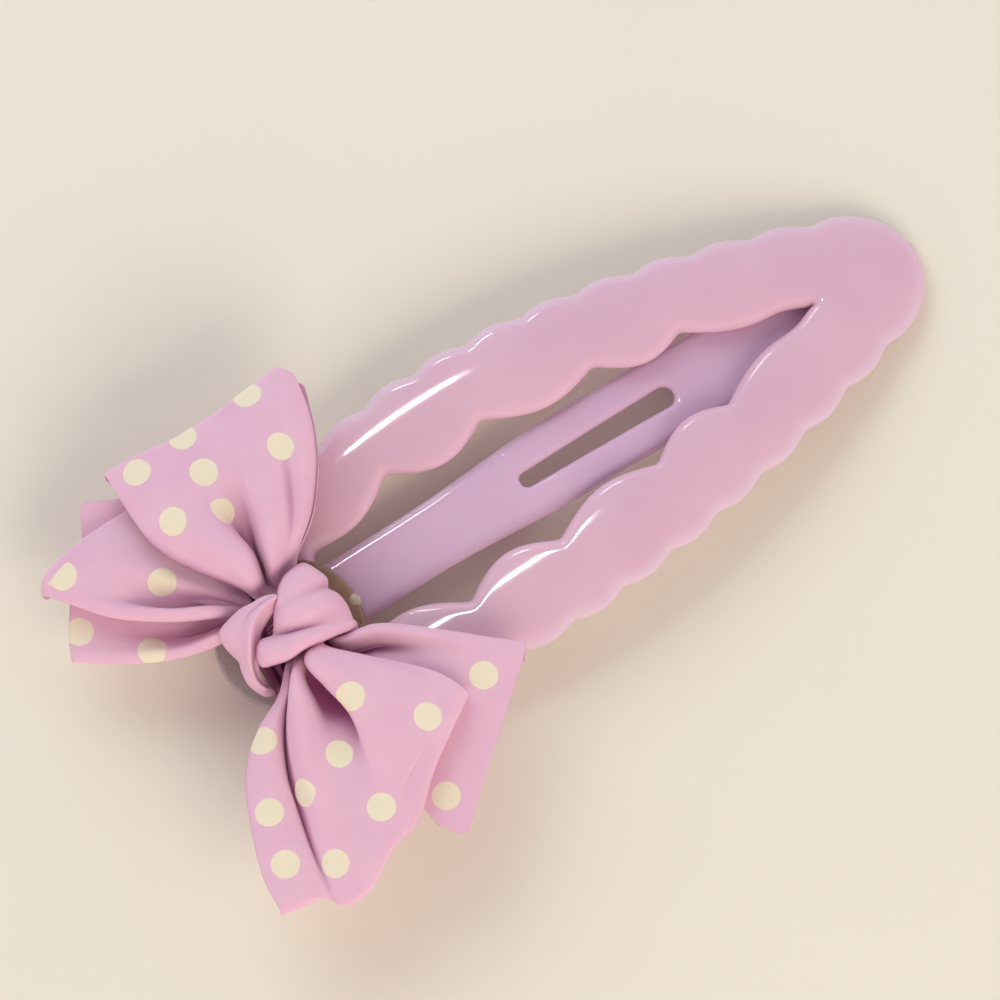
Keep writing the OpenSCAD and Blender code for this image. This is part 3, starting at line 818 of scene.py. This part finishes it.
def make_bow():
    """The two big loops, the loop and its back on the left, and the two tails."""
    # The back material is painted shade: the folds' shade colour over the whole back, where the loops face
    # inwards.
    dotted = (ribbon("dotted_ribbon", dotted=True), ribbon("ribbon_back_painted_shade", deep=0.45))
    depth = [1.6, 1.8, 2.0, 2.2, 2.4, 2.4, 2.6, 2.8, 3.0, 3.0, 3.0, 3.0, 2.8]
    nose = [1.4] * 11 + [1.2, 0.7]
    cloth("bow_upper_loop", folded_back(UPPER_LOOP, depth, nose, 8.2, (1.2, -0.2)),
          [(5.4, 1.4, 9.8), (9.2, 1.8, 9.8)], (24, 40),
          [(1.5, 19.2), (7.6, 20.1), (15.1, 20.2), (7.3, 15.8), (15.0, 13.7), (1.8, 12.9), (6.9, 11.2)],
          dotted, "upper_loop", top_rows=0.54)
    nose = [0.4] * 9 + [0.8, 2.2, 0.9, 0.4, 0.3, 0.3]
    cloth("bow_lower_loop", folded_back(LOWER_LOOP, 1.0, nose, 7.5),
          [(4.0, -4.4, 9.8), (8.4, -4.2, 9.8)], (24, 42),
          [(7.0, -11.3), (3.6, -15.0), (12.8, -16.6), (3.7, -21.6), (-1.6, -16.3), (-5.6, -16.0),
           (-6.5, -21.3), (-2.9, -23.9), (-2.2, -9.4)],
          dotted, "lower_loop", columns=150)
    # shade paints shade on the folds of the left loop, the left tail and the right tail near the knot,
    # where the pieces above shade them.
    cloth("bow_left_loop", folded_back(LEFT_LOOP, 1.6, 0.8, 6.8),
          [(4.8, 2.6, 8.6), (3.8, 1.8, 8.4)], (11, 36),
          [(-9.7, 14.8), (-2.0, 8.8)], dotted, "left_tail_upper", phase=(3.0, 2.0), shade=(0.3, 3.0))
    cloth("bow_left_back", LEFT_BACK, [(4.8, 2.6, 8.2), (3.8, 1.8, 8.0)], (10, 11.5), [(2.0, 12.0)],
          dotted, "left_tail_upper", top_rows=1.0, rows=60, columns=60)
    cloth("bow_left_tail", LEFT_TAIL, [(3.8, 2.4, 7.6), (3.0, 1.2, 7.4)], (10, 14.5),
          [(-11.0, 9.7), (-5.8, 4.7)], dotted, "left_tail_lower", top_rows=1.0, rows=70, columns=80,
          shade=(0.5, 4.0))
    cloth("bow_right_tail", RIGHT_TAIL, [(9.4, -3.6, 8.6), (7.4, -4.4, 8.6)], (16.5, 20.5),
          [(19.6, -15.7), (9.9, -23.8)], dotted, "right_tail", top_rows=1.0, rows=80, columns=110,
          shade=(0.9, 5.0))


# ---------------------------------------------------------------- the knot

# The lobe's ribs run from the middle of the knot over its top and down to the pad.
KNOT_LOBE = [
    [(7.2, 1.0, 10.4), (7.0, 1.5, 11.8), (8.1, 2.4, 11.9), (9.1, 2.7, 11.7), (10.3, 2.9, 11.0),
     (10.9, 2.7, 10.0), (11.1, 2.4, 8.2), (10.4, 2.0, 6.5)],
    [(6.9, 0.6, 10.6), (6.7, 1.0, 12.3), (8.0, 1.7, 12.9), (9.2, 2.0, 12.7), (10.5, 2.1, 11.9),
     (11.2, 1.9, 10.6), (11.5, 1.8, 8.4), (10.5, 1.6, 6.5)],
    [(6.4, 0.2, 10.4), (6.2, 0.5, 12.4), (7.4, 0.8, 13.3), (8.9, 0.9, 13.3), (10.3, 0.9, 12.4),
     (11.3, 0.8, 11.0), (11.8, 0.8, 8.6), (10.5, 0.8, 6.5)],
    [(5.9, -0.3, 10.2), (5.6, -0.1, 12.1), (6.9, -0.2, 13.2), (8.5, -0.2, 13.2), (9.9, -0.2, 12.2),
     (10.9, -0.1, 10.7), (11.4, -0.1, 8.6), (10.4, 0.0, 6.5)],
    [(5.5, -0.9, 10.0), (5.2, -0.7, 12.0), (6.6, -0.9, 13.2), (8.4, -1.0, 13.3), (10.0, -1.1, 12.4),
     (11.3, -1.1, 10.9), (11.9, -1.2, 8.6), (10.5, -1.2, 6.5)],
    [(5.1, -1.5, 9.8), (4.8, -1.3, 11.8), (6.4, -1.7, 12.9), (8.3, -2.0, 13.1), (10.2, -2.1, 12.3),
     (11.6, -2.2, 10.6), (12.0, -2.2, 8.4), (10.5, -2.2, 6.5)],
    [(4.6, -1.9, 10.2), (4.2, -1.9, 11.6), (5.6, -2.5, 11.9), (7.2, -3.0, 12.2), (9.2, -3.4, 12.0),
     (11.5, -3.2, 10.3), (11.9, -3.2, 8.2), (10.5, -3.1, 6.5)],
    [(2.8, -1.6, 10.8), (3.0, -1.9, 12.1), (4.8, -2.9, 12.6), (6.6, -3.4, 12.7), (8.6, -3.8, 12.2),
     (11.3, -3.9, 10.2), (11.8, -3.9, 8.0), (10.4, -3.8, 6.5)],
    [(2.0, -2.5, 11.0), (2.6, -2.9, 12.7), (4.4, -3.7, 13.2), (6.2, -3.9, 13.1), (8.3, -4.3, 12.3),
     (11.3, -4.4, 10.2), (11.9, -4.5, 7.8), (10.3, -4.3, 6.5)],
    [(1.8, -3.4, 10.8), (2.6, -3.8, 12.2), (4.1, -4.4, 12.7), (6.0, -4.4, 12.5), (8.2, -4.6, 11.7),
     (10.9, -4.7, 9.9), (11.4, -4.8, 7.6), (9.8, -4.6, 6.5)],
    [(2.4, -3.7, 10.2), (2.9, -4.1, 11.2), (4.2, -4.5, 11.6), (6.0, -4.4, 11.3), (8.1, -4.5, 10.6),
     (10.3, -4.5, 9.3), (10.7, -4.4, 7.6), (9.4, -4.2, 6.8)],
]

# The strand that crosses over the band: the lines of its outer edge, its bright crest and its inner
# edge, from the top of the knot down to the pad.
STRAND_OUTER = [
    (6.5, 1.3, 12.4), (5.6, 1.7, 12.4), (4.1, 1.9, 12.0), (2.9, 2.1, 11.5), (1.7, 2.0, 10.8),
    (0.4, 1.7, 9.5), (0.2, 0.5, 8.6), (0.6, -1.2, 8.4), (0.3, -2.4, 8.4), (0.2, -3.6, 8.2),
    (0.8, -5.1, 8.0), (1.6, -5.4, 7.0),
]
STRAND_CREST = [
    (6.5, 1.1, 12.6), (5.6, 1.0, 12.9), (4.4, 0.8, 13.0), (3.3, 0.3, 12.9), (2.6, -0.3, 12.7),
    (1.9, -1.1, 12.3), (1.4, -1.9, 11.7), (1.0, -2.6, 11.1), (0.7, -3.4, 10.4), (0.6, -4.3, 9.6),
    (1.0, -5.1, 8.8), (1.8, -5.3, 7.3),
]
STRAND_INNER = [
    (6.6, 1.0, 12.3), (5.6, 0.3, 12.2), (4.8, 0.0, 12.0), (3.8, -0.5, 11.8), (3.2, -1.0, 11.7),
    (2.8, -1.5, 11.5), (2.1, -2.2, 11.0), (1.7, -2.9, 10.4), (1.5, -3.7, 9.6), (1.5, -4.7, 9.0),
    (1.6, -5.3, 8.3), (2.1, -5.2, 7.1),
]
# Its section, from edge to edge: how far from the outer edge (0) past the crest (1) to the inner
# edge (2), and how much higher or lower than the straight line between them.
STRAND_SECTION = [
    (0.12, -1.3), (0.0, -0.2), (0.25, 0.2), (0.5, 0.15), (0.72, -0.15), (0.88, 0.0), (1.0, 0.25),
    (1.25, -0.3), (1.55, -0.8), (1.8, -0.8), (1.7, -2.4),
]


# The waist: its middle and half width, the height of its top, how far its sides drop, and its pleats.
WAIST_X, WAIST_HALF, WAIST_TOP, WAIST_DROP = 6.4, 4.3, 9.2, 2.6
WAIST_PLEATS, PLEAT_H = 9, 0.35
# A length so long that the shade is even over a whole piece.
EVERYWHERE = 1000.0


def strand_ribs():
    """The ribs of the strand, which is thinner at its two ends."""
    outer, crest, inner = (np.array(line) for line in (STRAND_OUTER, STRAND_CREST, STRAND_INNER))
    ends = np.minimum(1, np.linspace(0.25, 3, len(outer)))[:, None]
    ribs = []
    for f, up in STRAND_SECTION:
        line = outer + (crest - outer) * f if f <= 1 else crest + (inner - crest) * (f - 1)
        ribs.append(line + np.array([0, 0, up]) * ends)
    return np.array(ribs)


def waist_ribs():
    """The middle of the ribbons, gathered in pleats inside the knot."""
    ribs = []
    for i in range(2 * WAIST_PLEATS + 1):
        f = i / WAIST_PLEATS - 1
        x = WAIST_X + WAIST_HALF * f
        high = WAIST_TOP - WAIST_DROP * f * f + (PLEAT_H if i % 2 else -PLEAT_H)
        ribs.append([(x * 0.9 + 0.6, 3.4, high - 0.6), (x, 1.4, high), (x, -1.6, high + 0.2),
                     (x, -4.0, high), (x * 0.95 + 0.2, -5.6, high - 0.8)])
    return np.array(ribs)


def make_knot():
    """The band round the waist: a puffed lobe with a roll along its edge, a strand crossing over it,
    and the pleated waist inside."""
    # The back material is painted shade all over. The shade arguments set the painted fold shade: a little
    # on the lobe, less on the strand, and the waist painted dark all over for the shade inside the knot.
    plain = (ribbon("plain_ribbon"), ribbon("plain_ribbon_back_painted_shade", deep=0.45))
    cloth("knot_lobe", KNOT_LOBE, None, (10.5, 13.5), [], plain, "knot_band", "plain_ribbon", top_rows=0.6,
          rows=100, columns=110, thickness=0.4, shade=(0.2, EVERYWHERE))
    cloth("knot_strand", strand_ribs(), None, (10, 10), [], plain, "knot_band", "plain_ribbon",
          rows=110, columns=80, shade=(-0.2, EVERYWHERE))
    cloth("knot_waist", waist_ribs(), None, (17, 10), [], plain, "knot_band", "plain_ribbon",
          top_rows=1.0, rows=50, columns=150, shade=(1.6, EVERYWHERE))


# ---------------------------------------------------------------- the pad and the glue

PAD_X, PAD_Y, PAD_R, PAD_T = 6.8, -1.0, 7.5, 2.2
PAD_TILT = math.asin((ARCH_X - PAD_X) / (ARCH_R + SHEET_T))
PAD_SUNK, PAD_ROUND = 0.1, 0.45
BEAD_X, DROP_PLACE = 6.0, (13.5, -1.8, 6.0)
# Half sections as (radius, height).
BEAD_PROFILE = [(0, 4.2), (3.6, 4.2), (4.735, 5.0), (4.6, 5.9), (4.0, 6.5), (2.6, 6.8), (0, 6.9)]
DROP_PROFILE = [(0, -0.3), (0.5, -0.25), (0.62, 0.1), (0.4, 0.45), (0, 0.55)]
# How much longer than wide the drop is.
DROP_STRETCH = 1.3


def lathe(name, profile, place, material, turns=96):
    """A round piece from its half section, listed as (radius, height) from the axis out and back."""
    points, faces = [], []
    for k in range(turns):
        a = 2 * math.pi * k / turns
        points += [place(r * math.cos(a), r * math.sin(a), z) for r, z in profile]
    n = len(profile)
    for k in range(turns):
        a, b = k * n, (k + 1) % turns * n
        faces += [(a + i, b + i, b + i + 1, a + i + 1) for i in range(n - 1)]
    return mesh_object(name, points, faces, material, merge=0.001)


def on_heel(x, y, z):
    """A point in the heel's tilted frame, with the sheet's top face at height 0."""
    c, s = math.cos(PAD_TILT), math.sin(PAD_TILT)
    up = ARCH_R + SHEET_T + z
    return (ARCH_X + x * c - up * s, PAD_Y + y, ARCH_Z + x * s + up * c)


def rounded(radius, low, high, soft):
    """The half section of a disc with rounded edges."""
    arc = [math.pi / 2 * i / 8 for i in range(9)]
    bottom = [(radius - soft + soft * math.sin(a), low + soft - soft * math.cos(a)) for a in arc]
    top = [(radius - soft + soft * math.cos(a), high - soft + soft * math.sin(a)) for a in arc]
    rings = [radius * f for f in (0.0, 0.3, 0.6, 0.85)]
    return [(r, low) for r in rings] + bottom + top + [(r, high) for r in rings[::-1]]


def make_pad():
    """The pad on the heel, the glue between it and the bow, and a drop of glue at its edge."""
    pad = lathe("pad_disc", rounded(PAD_R, -PAD_SUNK, PAD_T, PAD_ROUND), on_heel, smoky_pad())
    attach(pad, "heel")
    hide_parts("mounting_pad")
    glue = hot_glue()
    bead = lathe("glue_dome", BEAD_PROFILE, lambda x, y, z: (BEAD_X + x, PAD_Y + y, z), glue, 48)
    left, middle, low = DROP_PLACE
    drop = lathe("glue_drop", DROP_PROFILE,
                 lambda x, y, z: (left + x, middle + DROP_STRETCH * y, low + z), glue, 32)
    for piece in (bead, drop):
        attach(piece, "heel")
        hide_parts("glue_bead")


# ---------------------------------------------------------------- the thread

# The coil: the first turn's place, its half width and half height, and the thread's radius and pitch.
COIL_START, COIL_HALF_W, COIL_HALF_H = (6.6, -3.9, 8.9), 2.2, 1.2
THREAD_R, THREAD_PITCH = 0.24, 0.44


def make_thread():
    """The thread that gathers the ribbons, wound round the waist inside the knot."""
    turns, steps, sides, radius = 10, 48, 8, THREAD_R
    x, y, z = COIL_START
    points = []
    for k in range(turns * steps + 1):
        a = 2 * math.pi * k / steps
        across, up = math.sin(a), math.cos(a)
        centre = np.array([x + COIL_HALF_W * across, y + THREAD_PITCH * k / steps, z + COIL_HALF_H * up])
        outward = np.array([COIL_HALF_H * across, 0.0, COIL_HALF_W * up])
        outward /= np.linalg.norm(outward)
        for j in range(sides):
            b = 2 * math.pi * j / sides
            points.append(centre + radius * (outward * math.cos(b) + np.array([0, 1, 0]) * math.sin(b)))
    rings = len(points) // sides
    faces = []
    for i in range(rings - 1):
        near, far = i * sides, (i + 1) * sides
        for j in range(sides):
            beside = (j + 1) % sides
            faces.append((near + j, near + beside, far + beside, far + j))
    faces += [tuple(range(sides))[::-1], tuple((rings - 1) * sides + j for j in range(sides))]
    thread = mesh_object("binding_coil", points, faces, thread_material())
    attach(thread, "heel")
    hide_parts("binding_thread")


# ---------------------------------------------------------------- the steel and the floor


def dress_cad():
    """Gives the two steel cores, which stay as the CAD made them, their material."""
    finishes = {"heel_and_tongue_steel": steel()}
    finishes["side_legs_steel"] = finishes["heel_and_tongue_steel"]
    for node, material in finishes.items():
        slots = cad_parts[node].data.materials
        slots.clear()
        slots.append(material)


def make_floor():
    """A plain floor, its half side in metres."""
    mesh = bpy.data.meshes.new("floor")
    size = 2.5
    corners = [(-size, -size, 0), (size, -size, 0), (size, size, 0), (-size, size, 0)]
    mesh.from_pydata(corners, [], [(0, 1, 2, 3)])
    mesh.materials.append(floor_material())
    floor = bpy.data.objects.new("floor", mesh)
    bpy.context.scene.collection.objects.link(floor)


# ---------------------------------------------------------------- everything together

make_camera()
make_lights()
make_floor()
dress_cad()
make_clip()
make_pad()
make_bow()
make_knot()
make_thread()
